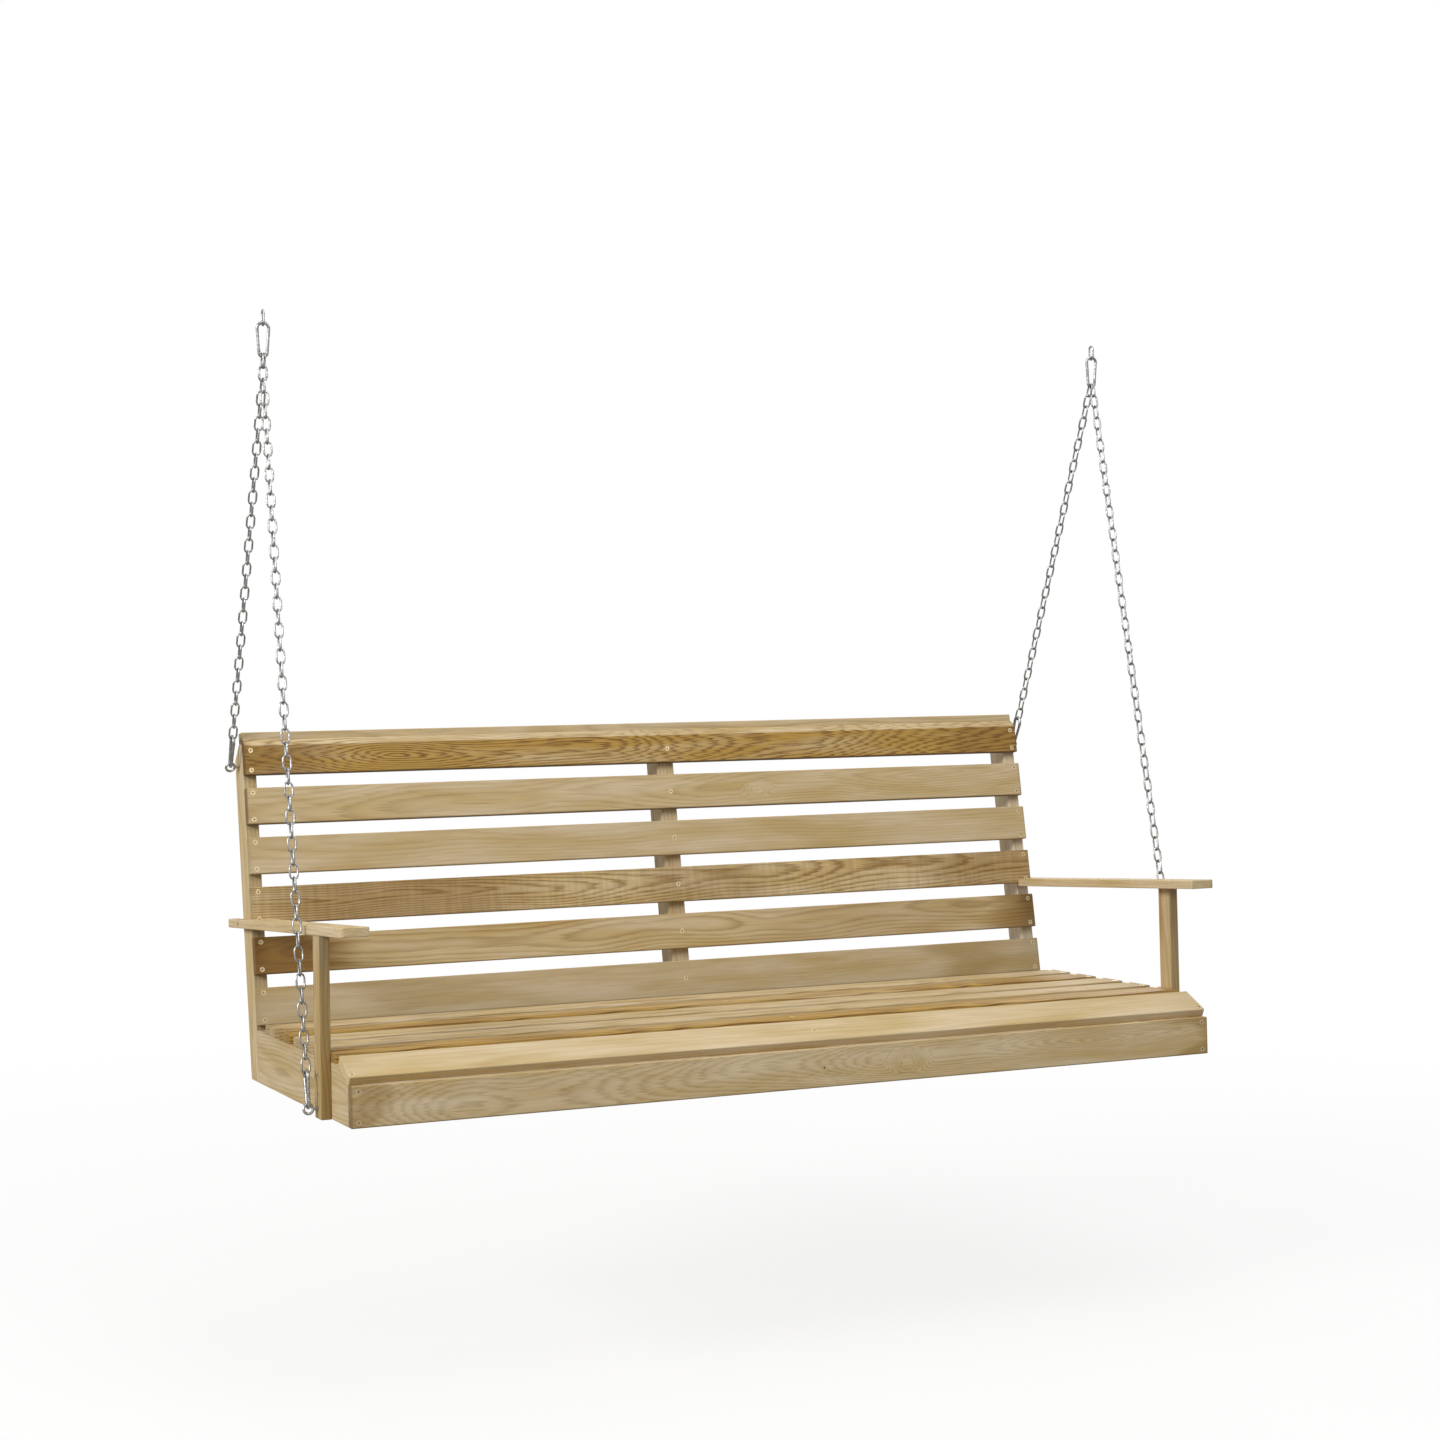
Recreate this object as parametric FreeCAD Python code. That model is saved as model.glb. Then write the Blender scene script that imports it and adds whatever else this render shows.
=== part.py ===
import FreeCAD, Part
import math
import os

from FreeCAD import Placement, Rotation, Vector

# A slatted garden swing seat that hangs on four chains.
# The seat is drawn level first, in a bench frame: X to the right from the seat's middle,
# Y to the back from the front of the apron, Z up from the underside of the seat rails.
# Then it is tipped back to the angle it hangs at, with the hang axis through the origin.

# Wooden boards
slat_length = 1460.0
slat_width = 60.0
slat_thickness = 14.0
edge_ease = 1.5
end_frame_width = 22.0
centre_frame_width = 30.0
centre_frame_offset = 22.0
upright_depth = 50.0

# Seat
seat_slat_count = 5
seat_slat_gap = 25.1
seat_rail_height = 83.5
first_seat_slat_setback = 81.0
front_slat_width = 57.0
front_slat_slope = 26.2
front_slat_gap = 23.5
apron_clearance = 0.1
apron_lap = 12.5374

# Backrest
back_slat_count = 6
back_slat_gap = 21.2
back_angle = 9.1
back_foot_setback = 524.5
back_foot_drop = 5.5
top_bevel = 11.5
top_rail_height = 18.0
top_rail_depth = 18.0
top_rail_overlap = 5.3
upright_top_flat = 20.0
upright_back_cut = 21.6

# Armrests and their posts
post_thickness = 16.0
post_depth = 34.0
post_setback = 100.5
armrest_thickness = 14.0
armrest_inset = 29.0
armrest_front_overhang = 8.0
armrest_front_rise = 188.9
armrest_slope = 2.7
armrest_back_overhang = 38.0
armrest_corner_radius = 8.0
armrest_slat_clearance = 0.4

# Wood screws
screw_shank_radius = 2.0
screw_head_radius = 4.0
screw_head_height = 3.0
screw_tip_radius = 0.3
screw_tip_length = 5.0
screw_clearance = 0.1
screw_edge_distance = 8.0
front_screw_shift = 5.0
top_rail_screw_shift = 5.5
slat_screw_length = 36.0
frame_screw_length = 80.0
frame_screw_spacing = 40.0
post_screw_length = 32.0
post_screw_spacing = 28.0
post_screw_height = 36.0
armrest_top_screw_length = 45.0
armrest_side_screw_length = 34.0
top_rail_screw_length = 45.0
recess_length = 4.4
recess_width = 1.1
recess_depth = 2.0

# Screw eyes
eye_ring_radius = 7.0
eye_wire_radius = 2.0
eye_stand_off = 14.5
rear_eye_thread = 18.0
front_eye_thread = 30.0
front_eye_height = 15.5
rear_eye_up_the_back = 425.0

# Snap hooks, the span measured between the centres of their end wires
hook_span = 53.0
hook_wire_radius = 2.5
hook_head_radius = 9.2
lower_hook_foot_radius = 5.5
upper_hook_foot_radius = 6.5
hook_nose_length = 3.0
hook_stub_length = 1.0
tongue_thickness = 1.8
tongue_width = 4.4
rivet_rise = 3.6
rivet_radius = 0.9
rivet_clearance = 0.3
gate_radius = 2.3
gate_gap = 0.3
fork_end_radius = 2.6
fork_clearance = 0.3
spring_length = 12.0
spring_radius = 1.05
spring_wall = 0.4
spring_clearance = 0.15

# Chains
link_wire_radius = 1.6
link_inner_length = 20.75
link_inner_width = 8.8
link_play = 0.3
front_link_count = 54
rear_link_count = 32
hang_overhang = 24.0
chain_side_play = 0.3

# Attitude of the seat when it hangs at rest
hung_tilt = 2.13

UP = Vector(0, 0, 1)
ACROSS = Vector(1, 0, 0)
BACK = Vector(0, 1, 0)
half_length = slat_length / 2
seat_top = seat_rail_height + slat_thickness
lean = math.radians(back_angle)
slope = math.radians(front_slat_slope)
arm_drop = math.radians(armrest_slope)
tilt = math.radians(hung_tilt)
back_foot_height = seat_top - back_foot_drop
armrest_front_height = seat_rail_height + armrest_front_rise
back_slat_pitch = slat_width + back_slat_gap
back_height = (back_slat_count - 1) * back_slat_pitch + slat_width
upright_top = back_height - top_rail_overlap
upright_back = slat_thickness + upright_depth
end_frame_x = half_length - end_frame_width / 2
frames = (("left", -end_frame_x, end_frame_width), ("centre", centre_frame_offset, centre_frame_width),
          ("right", end_frame_x, end_frame_width))
sides = (("left", -1), ("right", 1))


def back_point(up, behind):
    """Bench Y and Z a distance up the backrest and behind the faces of its slats."""
    y = back_foot_setback + up * math.sin(lean) + behind * math.cos(lean)
    z = back_foot_height + up * math.cos(lean) - behind * math.sin(lean)
    return y, z


def back_plane(height, behind):
    """Bench Y at a height, on the plane that lies a distance behind the back slats' faces."""
    return back_foot_setback + (height - back_foot_height) * math.tan(lean) + behind / math.cos(lean)


def armrest_underside(y):
    """Height of the armrest's underside at a bench Y."""
    return armrest_front_height - (y + armrest_front_overhang) * math.tan(arm_drop)


def eased(board):
    """The same board with all its edges rounded over."""
    return board.makeFillet(edge_ease, board.Edges)


def side_profile(points, left, right):
    """A board whose outline is given as Y, Z points, running from left to right in X."""
    corners = [Vector(left, y, z) for y, z in points]
    outline = Part.makePolygon(corners + corners[:1])
    return Part.Face(outline).extrude(Vector(right - left, 0, 0))


def slat(width, place):
    """A full length slat whose face lies in the XY plane of a placement, centred on it."""
    corner = Vector(-half_length, -width / 2, -slat_thickness)
    board = eased(Part.makeBox(slat_length, width, slat_thickness, corner))
    board.Placement = place
    return board


def bevelled_slat(place):
    """The top slat of the back, with its upper front edge planed off."""
    half = slat_width / 2
    outline = [(-half, -slat_thickness), (-half, 0), (half - top_bevel, 0), (half, -top_bevel),
               (half, -slat_thickness)]
    board = eased(side_profile(outline, -half_length, half_length))
    board.Placement = place
    return board


def slat_screw_places(low, high, place):
    """Screws on a slat's face: one near its low and high edge at each end, one between at the centre."""
    rows = (low + screw_edge_distance, high - screw_edge_distance)
    spots = [Vector(centre_frame_offset, (low + high) / 2, 0)]
    for x in (-end_frame_x, end_frame_x):
        spots += [Vector(x, row, 0) for row in rows]
    return [place * Placement(spot, Rotation()) for spot in spots]


def front_slat_screw_places(place):
    """Screws on the front slat: at its front edge at the ends, clear of the apron's, and one between."""
    row = screw_edge_distance - front_slat_width / 2
    spots = [Vector(centre_frame_offset, 0, 0)]
    for x in (-end_frame_x - front_screw_shift, end_frame_x + front_screw_shift):
        spots.append(Vector(x, row, 0))
    return [place * Placement(spot, Rotation()) for spot in spots]


def back_slat_place(index):
    """Placement of a back slat's face, counted from the top."""
    middle = (back_slat_count - 1 - index) * back_slat_pitch + slat_width / 2
    y, z = back_point(middle, 0)
    return Placement(Vector(0, y, z), Rotation(ACROSS, 90 - back_angle))


def seat_slat_place(index):
    """Placement of a flat seat slat's face, counted from the front."""
    middle = first_seat_slat_setback + index * (slat_width + seat_slat_gap) + slat_width / 2
    return Placement(Vector(0, middle, seat_top), Rotation())


def front_slat_place():
    """Placement of the sloping front slat's face: its back edge is level with the seat."""
    middle = first_seat_slat_setback - front_slat_gap - front_slat_width / 2 * math.cos(slope)
    drop = front_slat_width / 2 * math.sin(slope)
    return Placement(Vector(0, middle, seat_top - drop), Rotation(ACROSS, front_slat_slope))


front_slat_foot = front_slat_place().multVec(Vector(0, -front_slat_width / 2, -slat_thickness))
foot_rounding = edge_ease * (math.cos(slope) + math.sin(slope) - 1)
apron_height = front_slat_foot.z + foot_rounding - apron_clearance
apron_face = front_slat_foot.y - apron_lap
apron_back = apron_face + slat_thickness


def apron_place():
    """Placement of the upright apron's face below the front slat."""
    return Placement(Vector(0, apron_face, apron_height / 2), Rotation(ACROSS, 90))


def seat_rail(left, right):
    """A rail under the seat, from the apron to the upright, its nose cut to the front slat's slope."""
    nose = front_slat_foot.z + (apron_back - front_slat_foot.y) * math.tan(slope)
    slope_end = apron_back + (seat_rail_height - nose) / math.tan(slope)
    outline = [(apron_back, 0), (apron_back, nose), (slope_end, seat_rail_height),
               (back_plane(seat_rail_height, slat_thickness), seat_rail_height),
               (back_plane(0, slat_thickness), 0)]
    return eased(side_profile(outline, left, right))


def upright(left, right):
    """A leaning upright behind the back slats, its top back corner cut away."""
    outline = [(back_plane(0, slat_thickness), 0), back_point(upright_top, slat_thickness),
               back_point(upright_top, slat_thickness + upright_top_flat),
               back_point(upright_top - upright_back_cut, upright_back),
               (back_plane(0, upright_back), 0)]
    return eased(side_profile(outline, left, right))


def top_rail():
    """The bar on top of the uprights, behind the bevelled slat."""
    top = upright_top + top_rail_height
    behind = slat_thickness + top_rail_depth
    outline = [back_point(upright_top, slat_thickness), back_point(top, slat_thickness),
               back_point(top, behind), back_point(upright_top, behind)]
    return eased(side_profile(outline, -half_length, half_length))


def frame_screw_places(x):
    """Screws through an upright into its seat rail, square to the upright's back."""
    middle = seat_rail_height / 2
    spots = []
    for height in (middle - frame_screw_spacing / 2, middle + frame_screw_spacing / 2):
        spots.append(Vector(x, back_plane(height, upright_back), height))
    return [Placement(spot, Rotation(ACROSS, -90 - back_angle)) for spot in spots]


def top_rail_screw_place(x):
    """A screw down through the top rail into an upright."""
    y, z = back_point(upright_top + top_rail_height, slat_thickness + top_rail_depth / 2)
    return Placement(Vector(x, y, z), Rotation(ACROSS, -back_angle))


def arm_post(sign):
    """The post on the outer face of an end rail, cut to the armrest's slope at the top."""
    back = post_setback + post_depth
    outline = [(post_setback, 0), (post_setback, armrest_underside(post_setback)),
               (back, armrest_underside(back)), (back, 0)]
    return eased(side_profile(outline, sign * half_length, sign * (half_length + post_thickness)))


post_middle = post_setback + post_depth / 2
armrest_outer = half_length + post_thickness
armrest_turn = Rotation(ACROSS, -armrest_slope)
armrest_place = Placement(Vector(0, -armrest_front_overhang, armrest_front_height), armrest_turn)
notch_height = armrest_underside(back_plane(armrest_front_height, 0))
notch_y = back_plane(notch_height, 0) - armrest_slat_clearance
armrest_back = back_plane(notch_height, upright_back) + armrest_back_overhang
upright_middle = back_plane(notch_height, slat_thickness + upright_depth / 2)


def armrest(sign):
    """An armrest notched round the backrest: its outer strip runs on past the upright."""
    end = (armrest_back + armrest_front_overhang) / math.cos(arm_drop)
    notch = (notch_y + armrest_front_overhang) / math.cos(arm_drop)
    face = sign * half_length
    outer = sign * armrest_outer
    inner = sign * (half_length - armrest_inset)
    plan = [(inner, 0), (outer, 0), (outer, end), (face, end), (face, notch), (inner, notch)]
    corners = [Vector(x, y, 0) for x, y in plan]
    board = Part.Face(Part.makePolygon(corners + corners[:1])).extrude(UP * armrest_thickness)
    corner = Vector(outer, 0, armrest_thickness / 2)
    front_edge = [edge for edge in board.Edges if edge.CenterOfMass.distanceToPoint(corner) < edge_ease]
    board = eased(board.makeFillet(armrest_corner_radius, front_edge))
    board.Placement = armrest_place
    return board


def outward(sign):
    """A turn that points local Z out of the seat's left or right side."""
    return Rotation(BACK, 90 * sign)


def post_screw_places(sign):
    """Two screws through a post into the rail."""
    spots = []
    for height in (post_screw_height, post_screw_height + post_screw_spacing):
        spots.append(Vector(sign * armrest_outer, post_middle, height))
    return [Placement(spot, outward(sign)) for spot in spots]


def armrest_top_screw_place(sign):
    """A screw down through the armrest into its post."""
    run = (post_middle + armrest_front_overhang) / math.cos(arm_drop)
    spot = Vector(sign * (half_length + post_thickness / 2), run, armrest_thickness)
    return Placement(armrest_place.multVec(spot), armrest_turn)


def armrest_side_screw_place(sign):
    """A screw through the armrest's outer strip into the upright."""
    height = armrest_underside(upright_middle) + armrest_thickness / 2
    return Placement(Vector(sign * armrest_outer, upright_middle, height), outward(sign))


def screw_form(length, spare):
    """A countersunk screw with its head's top at the origin, or its bore where spare is added."""
    neck = screw_shank_radius + spare
    shank_end = length - screw_tip_length + spare
    head = Part.makeCone(neck, screw_head_radius + spare, screw_head_height, -UP * screw_head_height)
    shank = Part.makeCylinder(neck, shank_end - screw_head_height, -UP * shank_end)
    tip = Part.makeCone(screw_tip_radius, neck, screw_tip_length, -UP * (shank_end + screw_tip_length))
    return head.fuse([shank, tip]).removeSplitter()


def wood_screw(length):
    """A screw with the cross recess for its driver."""
    corner = Vector(-recess_length / 2, -recess_width / 2, -recess_depth)
    blade = Part.makeBox(recess_length, recess_width, 2 * recess_depth, corner)
    crossing = blade.copy()
    crossing.rotate(Vector(), UP, 90)
    return screw_form(length, 0).cut([blade, crossing])


def copies(form, places):
    """The same form set at each of the places."""
    made = []
    for place in places:
        piece = form.copy()
        piece.Placement = place
        made.append(piece)
    return made


def along(origin, across, axis):
    """Placement with local Z exactly on an axis and local X as near as can be to a direction."""
    return Placement(origin, Rotation(across, Vector(), axis, "ZXY"))


def screw_eye(thread):
    """An eye with its ring round the origin in the XZ plane and its shank along X."""
    ring = Part.makeTorus(eye_ring_radius, eye_wire_radius, Vector(), BACK)
    length = eye_stand_off + thread - eye_ring_radius
    shank = Part.makeCylinder(eye_wire_radius, length, ACROSS * eye_ring_radius, ACROSS)
    return ring.fuse(shank).removeSplitter()


def screw_eye_bore(thread):
    """The hole in the wood for an eye's shank."""
    length = eye_stand_off + thread - eye_ring_radius + screw_clearance
    return Part.makeCylinder(eye_wire_radius + screw_clearance, length, ACROSS * eye_ring_radius, ACROSS)


link_bow = link_inner_width / 2 + link_wire_radius


def half_ring(height, turn):
    """One rounded end of a link in the XZ plane, bowed up or down by its turn about X."""
    ring = Part.makeTorus(link_bow, link_wire_radius, Vector(), UP, -180, 180, 180)
    ring.Placement = Placement(Vector(0, 0, height), Rotation(ACROSS, turn))
    return ring


def chain_link():
    """One oval link in the XZ plane: the inside of its top bow at the origin, the rest below."""
    top = -link_inner_width / 2
    low = top - (link_inner_length - link_inner_width)
    legs = [Part.makeCylinder(link_wire_radius, top - low, Vector(x, 0, low)) for x in (-link_bow, link_bow)]
    return half_ring(top, 90).fuse([half_ring(low, -90)] + legs).removeSplitter()


def hook_tangents(foot_radius):
    """Where the gate side of a pear shaped hook leaves its foot and meets its head."""
    foot = Vector(0, 0, foot_radius)
    head = Vector(0, 0, hook_span - hook_head_radius)
    flare = math.asin((hook_head_radius - foot_radius) / (head.z - foot.z))
    normal = Vector(math.cos(flare), 0, -math.sin(flare))
    return foot + normal * foot_radius, head + normal * hook_head_radius


def gate_place(foot_radius):
    """Placement of a gate at its rivet: local Z runs up the gate, local Y along the rivet."""
    low, high = hook_tangents(foot_radius)
    run = (high - low).normalize()
    return along(low + run * (hook_stub_length + rivet_rise), ACROSS, run)


def opposite(point):
    """The same point on the spine side of a hook."""
    return Vector(-point.x, point.y, point.z)


def hook_wire(foot_radius):
    """The bent wire of a hook: foot at the origin, head up, open along its gate side."""
    low, high = hook_tangents(foot_radius)
    run = (high - low).normalize()
    start = low + run * hook_stub_length
    bends = [Part.makeLine(start, low), Part.Arc(low, Vector(), opposite(low)).toShape(),
             Part.makeLine(opposite(low), opposite(high)),
             Part.Arc(opposite(high), Vector(0, 0, hook_span), high).toShape(),
             Part.makeLine(high, high - run * hook_nose_length)]
    section = Part.Wire(Part.makeCircle(hook_wire_radius, start, run))
    return Part.Wire(bends).makePipeShell([section], True, False)


def tongue():
    """The flat tongue on the wire's end that the gate is riveted to, drawn about the rivet."""
    corner = Vector(-tongue_width / 2, -tongue_thickness / 2, -rivet_rise - hook_stub_length)
    blade = Part.makeBox(tongue_width, tongue_thickness, rivet_rise + hook_stub_length, corner)
    knuckle = Part.makeCylinder(tongue_width / 2, tongue_thickness, -BACK * tongue_thickness / 2, BACK)
    return blade.fuse(knuckle)


def rivet(spare):
    """The pin through the gate's fork and the tongue, or its hole where spare is added."""
    half = gate_radius + spare
    return Part.makeCylinder(rivet_radius + spare, 2 * half, -BACK * half, BACK)


def hook_body(foot_radius):
    """A hook's wire and tongue in one piece, with the hole that its rivet fills."""
    blade = tongue().cut(rivet(0))
    blade.Placement = gate_place(foot_radius)
    return hook_wire(foot_radius).fuse(blade).removeSplitter()


fork_slot_rise = tongue_width / 2 + fork_clearance


def gate(foot_radius):
    """The sprung bar that closes a hook: a fork round the tongue, hollow for its spring."""
    low, high = hook_tangents(foot_radius)
    length = (high - low).Length - hook_nose_length - hook_stub_length - rivet_rise - gate_gap
    bar = Part.makeCylinder(gate_radius, length + fork_end_radius, -UP * fork_end_radius)
    reach = 2 * gate_radius
    above = Part.makeBox(2 * reach, 2 * reach, length, Vector(-reach, -reach, 0))
    knuckle = Part.makeCylinder(fork_end_radius, 2 * reach, -BACK * reach, BACK)
    slot_half = tongue_thickness / 2 + fork_clearance
    slot = Part.makeBox(2 * reach, 2 * slot_half, fork_slot_rise + 2 * fork_end_radius,
                        Vector(-reach, -slot_half, -2 * fork_end_radius))
    hollow = Part.makeCylinder(spring_radius + spring_clearance, spring_length, UP * fork_slot_rise)
    return bar.common(above.fuse(knuckle)).cut([slot, hollow, rivet(rivet_clearance)])


def gate_spring():
    """The closely wound spring inside a gate, as the plain sleeve that its turns fill."""
    outside = Part.makeCylinder(spring_radius, spring_length, UP * fork_slot_rise)
    return outside.cut(Part.makeCylinder(spring_radius - spring_wall, spring_length, UP * fork_slot_rise))


# Along a chain from its eye's centre: the eye, the lower hook, then the links up to the upper hook
hook_foot_rise = eye_ring_radius - eye_wire_radius - hook_wire_radius - link_play
links_start = hook_foot_rise + hook_span - hook_wire_radius - link_play
link_pitch = link_inner_length - link_play

# The upper hook's foot carries two chains side by side, so their end links ride up its bend.
link_side_step = link_wire_radius + chain_side_play / 2
foot_room = upper_hook_foot_radius - hook_wire_radius - link_wire_radius - link_play
end_link_rise = upper_hook_foot_radius - math.sqrt(foot_room ** 2 - link_side_step ** 2)


def chain_length(count):
    """Distance from the inside of the last link's bow to the inside of the first link's."""
    return count * link_pitch + link_play


# Eyes and hook line of the right side
hang_x = half_length + hang_overhang
front_eye = Vector(armrest_outer + eye_stand_off, post_middle, front_eye_height)
rear_eye_y, rear_eye_z = back_point(rear_eye_up_the_back, slat_thickness + upright_depth / 2)
rear_eye = Vector(half_length + eye_stand_off, rear_eye_y, rear_eye_z)
front_meet_x = hang_x + link_side_step
rear_meet_x = hang_x - link_side_step


def flat_reach(count, sideways):
    """A chain's reach from its eye to the wire of the upper hook's foot, seen from the side."""
    reach = links_start + chain_length(count) + link_wire_radius - end_link_rise
    return math.sqrt(reach ** 2 - sideways ** 2)


def chain_meeting():
    """Bench Y and Z where the two chains of a side meet: circles about their eyes cross there."""
    front = flat_reach(front_link_count, front_eye.x - front_meet_x)
    rear = flat_reach(rear_link_count, rear_eye.x - rear_meet_x)
    gap = Vector(0, rear_eye.y - front_eye.y, rear_eye.z - front_eye.z)
    toward = (front ** 2 - rear ** 2 + gap.Length ** 2) / (2 * gap.Length)
    aside = math.sqrt(front ** 2 - toward ** 2)
    level = Vector(gap).normalize()
    spot = front_eye + level * toward + ACROSS.cross(level) * aside
    return spot.y, spot.z


meet_y, meet_z = chain_meeting()
true_up = Vector(0, -math.sin(tilt), math.cos(tilt))
upper_hook_foot = Vector(0, meet_y, meet_z)
hang_axis = upper_hook_foot + true_up * hook_span
hanging = Placement(Vector(), Rotation(ACROSS, -hung_tilt)) * Placement(-hang_axis, Rotation())


def chain(count, place):
    """Links that alternate by a quarter turn, hung down local Z from the inside of the first bow."""
    places = []
    for index in range(count):
        turn = Rotation(UP, 90 * ((index + 1) % 2))
        places.append(place * Placement(-UP * index * link_pitch, turn))
    return Part.makeCompound(copies(chain_link(), places))


boards = {}
fittings = {}
bores = []
rivets = []
pivots = {}


def add_screws(group, length, places):
    """Put screws at the places in a group, and keep the bores that they need in the wood."""
    fittings.setdefault(group, []).extend(copies(wood_screw(length), places))
    bores.extend(copies(screw_form(length, screw_clearance), places))


def add_slat(name, group, width, place):
    """Add a plain slat and the screws that hold it."""
    boards[name] = slat(width, place)
    add_screws(group, slat_screw_length, slat_screw_places(-width / 2, width / 2, place))


def add_hook(name, foot_radius, place):
    """Add a hook with its gate, the gate's spring and its rivet."""
    hinge = place * gate_place(foot_radius)
    fittings[name + "_hook"] = copies(hook_body(foot_radius), [place])
    fittings[name + "_gate"] = copies(gate(foot_radius), [hinge])
    fittings[name + "_gate_spring"] = copies(gate_spring(), [hinge])
    rivets.extend(copies(rivet(0), [hinge]))
    pivots[name + "_gate"] = hinge


def add_chain(name, count, thread, eye_at, meet, inward):
    """Add a chain with the screw eye and snap hook at its lower end."""
    run = (meet - eye_at).normalize()
    eye_turn = Rotation(inward, Vector(), run, "XZY")
    fittings[name + "_eye"] = copies(screw_eye(thread), [Placement(eye_at, eye_turn)])
    bores.extend(copies(screw_eye_bore(thread), [Placement(eye_at, eye_turn)]))
    add_hook(name, lower_hook_foot_radius, along(eye_at + run * hook_foot_rise, -BACK, run))
    top = eye_at + run * (links_start + chain_length(count))
    fittings[name + "_chain"] = [chain(count, along(top, ACROSS, run))]


# Backrest, seat and front
boards["back_slat_1"] = bevelled_slat(back_slat_place(0))
flat_top = slat_width / 2 - top_bevel
add_screws("back_slat_screws", slat_screw_length,
           slat_screw_places(-slat_width / 2, flat_top, back_slat_place(0)))
for index in range(1, back_slat_count):
    name = "back_slat_%d" % (index + 1)
    add_slat(name, "back_slat_screws", slat_width, back_slat_place(index))
for index in range(seat_slat_count):
    name = "seat_slat_%d" % (index + 1)
    add_slat(name, "seat_slat_screws", slat_width, seat_slat_place(index))
boards["front_edge_slat"] = slat(front_slat_width, front_slat_place())
add_screws("front_edge_screws", slat_screw_length, front_slat_screw_places(front_slat_place()))
add_slat("front_apron", "front_edge_screws", apron_height, apron_place())

# Frames under and behind the slats
for name, x, width in frames:
    boards[name + "_seat_rail"] = seat_rail(x - width / 2, x + width / 2)
    boards[name + "_upright"] = upright(x - width / 2, x + width / 2)
    add_screws("frame_screws", frame_screw_length, frame_screw_places(x))
    add_screws("frame_screws", top_rail_screw_length, [top_rail_screw_place(x - top_rail_screw_shift)])
boards["top_rail"] = top_rail()

# Armrests, chains and hooks on both sides
for name, sign in sides:
    boards[name + "_arm_post"] = arm_post(sign)
    boards[name + "_armrest"] = armrest(sign)
    add_screws("armrest_screws", post_screw_length, post_screw_places(sign))
    add_screws("armrest_screws", armrest_top_screw_length, [armrest_top_screw_place(sign)])
    add_screws("armrest_screws", armrest_side_screw_length, [armrest_side_screw_place(sign)])
    inward = ACROSS * -sign
    front_at = Vector(sign * front_eye.x, front_eye.y, front_eye.z)
    rear_at = Vector(sign * rear_eye.x, rear_eye.y, rear_eye.z)
    front_meet = Vector(sign * front_meet_x, meet_y, meet_z)
    rear_meet = Vector(sign * rear_meet_x, meet_y, meet_z)
    add_chain(name + "_front", front_link_count, front_eye_thread, front_at, front_meet, inward)
    add_chain(name + "_rear", rear_link_count, rear_eye_thread, rear_at, rear_meet, inward)
    side_step = ACROSS * sign * hang_x
    add_hook(name + "_upper", upper_hook_foot_radius, along(upper_hook_foot + side_step, -inward, true_up))
    link_top = hang_axis + side_step + true_up * (link_inner_length - hook_wire_radius - link_play)
    fittings[name + "_hang_link"] = copies(chain_link(), [along(link_top, BACK, true_up)])
fittings["hook_rivets"] = rivets


def bored(board):
    """The board with each bore that reaches it cut away."""
    near = [bore for bore in bores if bore.BoundBox.intersect(board.BoundBox)]
    return board.cut(near)


nodes = {name: bored(board) for name, board in boards.items()}
for name, pieces in fittings.items():
    nodes[name] = pieces[0] if len(pieces) == 1 else Part.makeCompound(pieces)

os.makedirs("parts", exist_ok=True)
for name, shape in nodes.items():
    hung = shape.copy()
    hung.Placement = hanging * shape.Placement
    hung.exportStep("parts/%s.step" % name)

for name, hinge in pivots.items():
    spot = hanging * hinge
    axis = spot.Rotation.multVec(BACK)
    print("pivot %s at %.3f %.3f %.3f axis %.5f %.5f %.5f" % ((name,) + tuple(spot.Base) + tuple(axis)))
print("hang axis in the bench frame %.2f %.2f" % (hang_axis.y, hang_axis.z))
print("apron height %.2f, nodes %d" % (apron_height, len(nodes)))
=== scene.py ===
# %% [markdown]
# # A garden swing seat
# A bench of pressure-treated pine hangs on four galvanised chains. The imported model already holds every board,
# screw, hook and eye at its real size, so this lesson starts from it as a fixed frame. What is left is the look:
# wood with growth rings that run through each board, zinc on steel, links of bent wire, light and a camera.

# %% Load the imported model
import math
from functools import partial

import bmesh
import bpy
from mathutils import Matrix, Vector


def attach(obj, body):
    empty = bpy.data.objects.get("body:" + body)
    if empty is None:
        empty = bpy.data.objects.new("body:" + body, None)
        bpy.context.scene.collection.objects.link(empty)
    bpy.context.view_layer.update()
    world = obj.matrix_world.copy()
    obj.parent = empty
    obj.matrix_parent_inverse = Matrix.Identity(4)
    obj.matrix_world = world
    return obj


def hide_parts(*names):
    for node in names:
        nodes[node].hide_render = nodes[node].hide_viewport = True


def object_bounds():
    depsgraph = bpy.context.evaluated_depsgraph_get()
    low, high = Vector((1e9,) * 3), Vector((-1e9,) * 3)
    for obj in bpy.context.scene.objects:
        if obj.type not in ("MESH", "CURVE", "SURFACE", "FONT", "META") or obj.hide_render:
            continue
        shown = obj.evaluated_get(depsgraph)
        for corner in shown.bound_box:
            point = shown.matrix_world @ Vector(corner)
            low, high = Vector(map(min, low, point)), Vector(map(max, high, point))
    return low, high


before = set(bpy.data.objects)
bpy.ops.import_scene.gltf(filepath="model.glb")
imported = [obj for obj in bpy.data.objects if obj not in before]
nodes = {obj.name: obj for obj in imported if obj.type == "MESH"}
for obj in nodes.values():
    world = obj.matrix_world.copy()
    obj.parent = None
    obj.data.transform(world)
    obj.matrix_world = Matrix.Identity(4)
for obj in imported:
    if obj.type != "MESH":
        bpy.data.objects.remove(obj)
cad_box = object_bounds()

MM = 0.001
print("nodes:", len(nodes), "box in metres:", [[round(v, 3) for v in corner] for corner in cad_box])

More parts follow.
